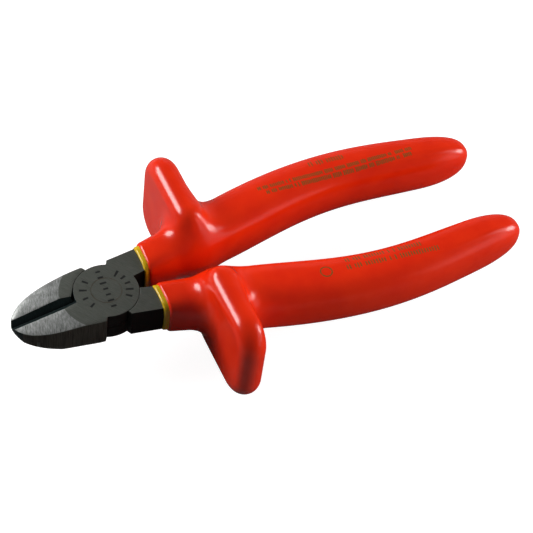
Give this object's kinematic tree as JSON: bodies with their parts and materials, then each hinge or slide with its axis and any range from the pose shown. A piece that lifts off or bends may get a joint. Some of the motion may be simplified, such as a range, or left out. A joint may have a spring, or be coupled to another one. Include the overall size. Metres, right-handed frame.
{
  "type": "diagonal cutting pliers",
  "caption": "Insulated diagonal cutting pliers with a riveted lap joint, ground jaws, dipped grips and upright finger guards.",
  "frame": {"origin": "on the pivot axis, in the plane of the lower joint face", "axes": "+X from the pivot towards the handles, along the closed tool; +Y towards the right handle; +Z along the pivot axis, out of the upper joint face"},
  "size_m": [0.1737, 0.0856, 0.0352],
  "materials": {
    "forged_steel": "dark phosphated tool steel, ground bright on the jaw facets",
    "rivet_steel": "dark phosphated steel, ground flush with the joint",
    "yellow_coat": "glossy dipped vinyl",
    "orange_coat": "glossy dipped vinyl",
    "guard_core": "moulded vinyl insert, hidden by the outer coat"
  },
  "bodies": {
    "left_half": {"left_lever": "forged_steel", "pivot_rivet": "rivet_steel", "left_inner_coat": "yellow_coat", "left_guard_core": "guard_core", "left_outer_grip": "orange_coat"},
    "right_half": {"right_lever": "forged_steel", "right_inner_coat": "yellow_coat", "right_guard_core": "guard_core", "right_outer_grip": "orange_coat"}
  },
  "joints": [
    {"name": "jaw_pivot", "type": "hinge", "parent": "left_half", "child": "right_half", "pos_m": [0, 0, 0.00545], "axis": [0, 0, 1], "range_deg": [0, 36]}
  ]
}
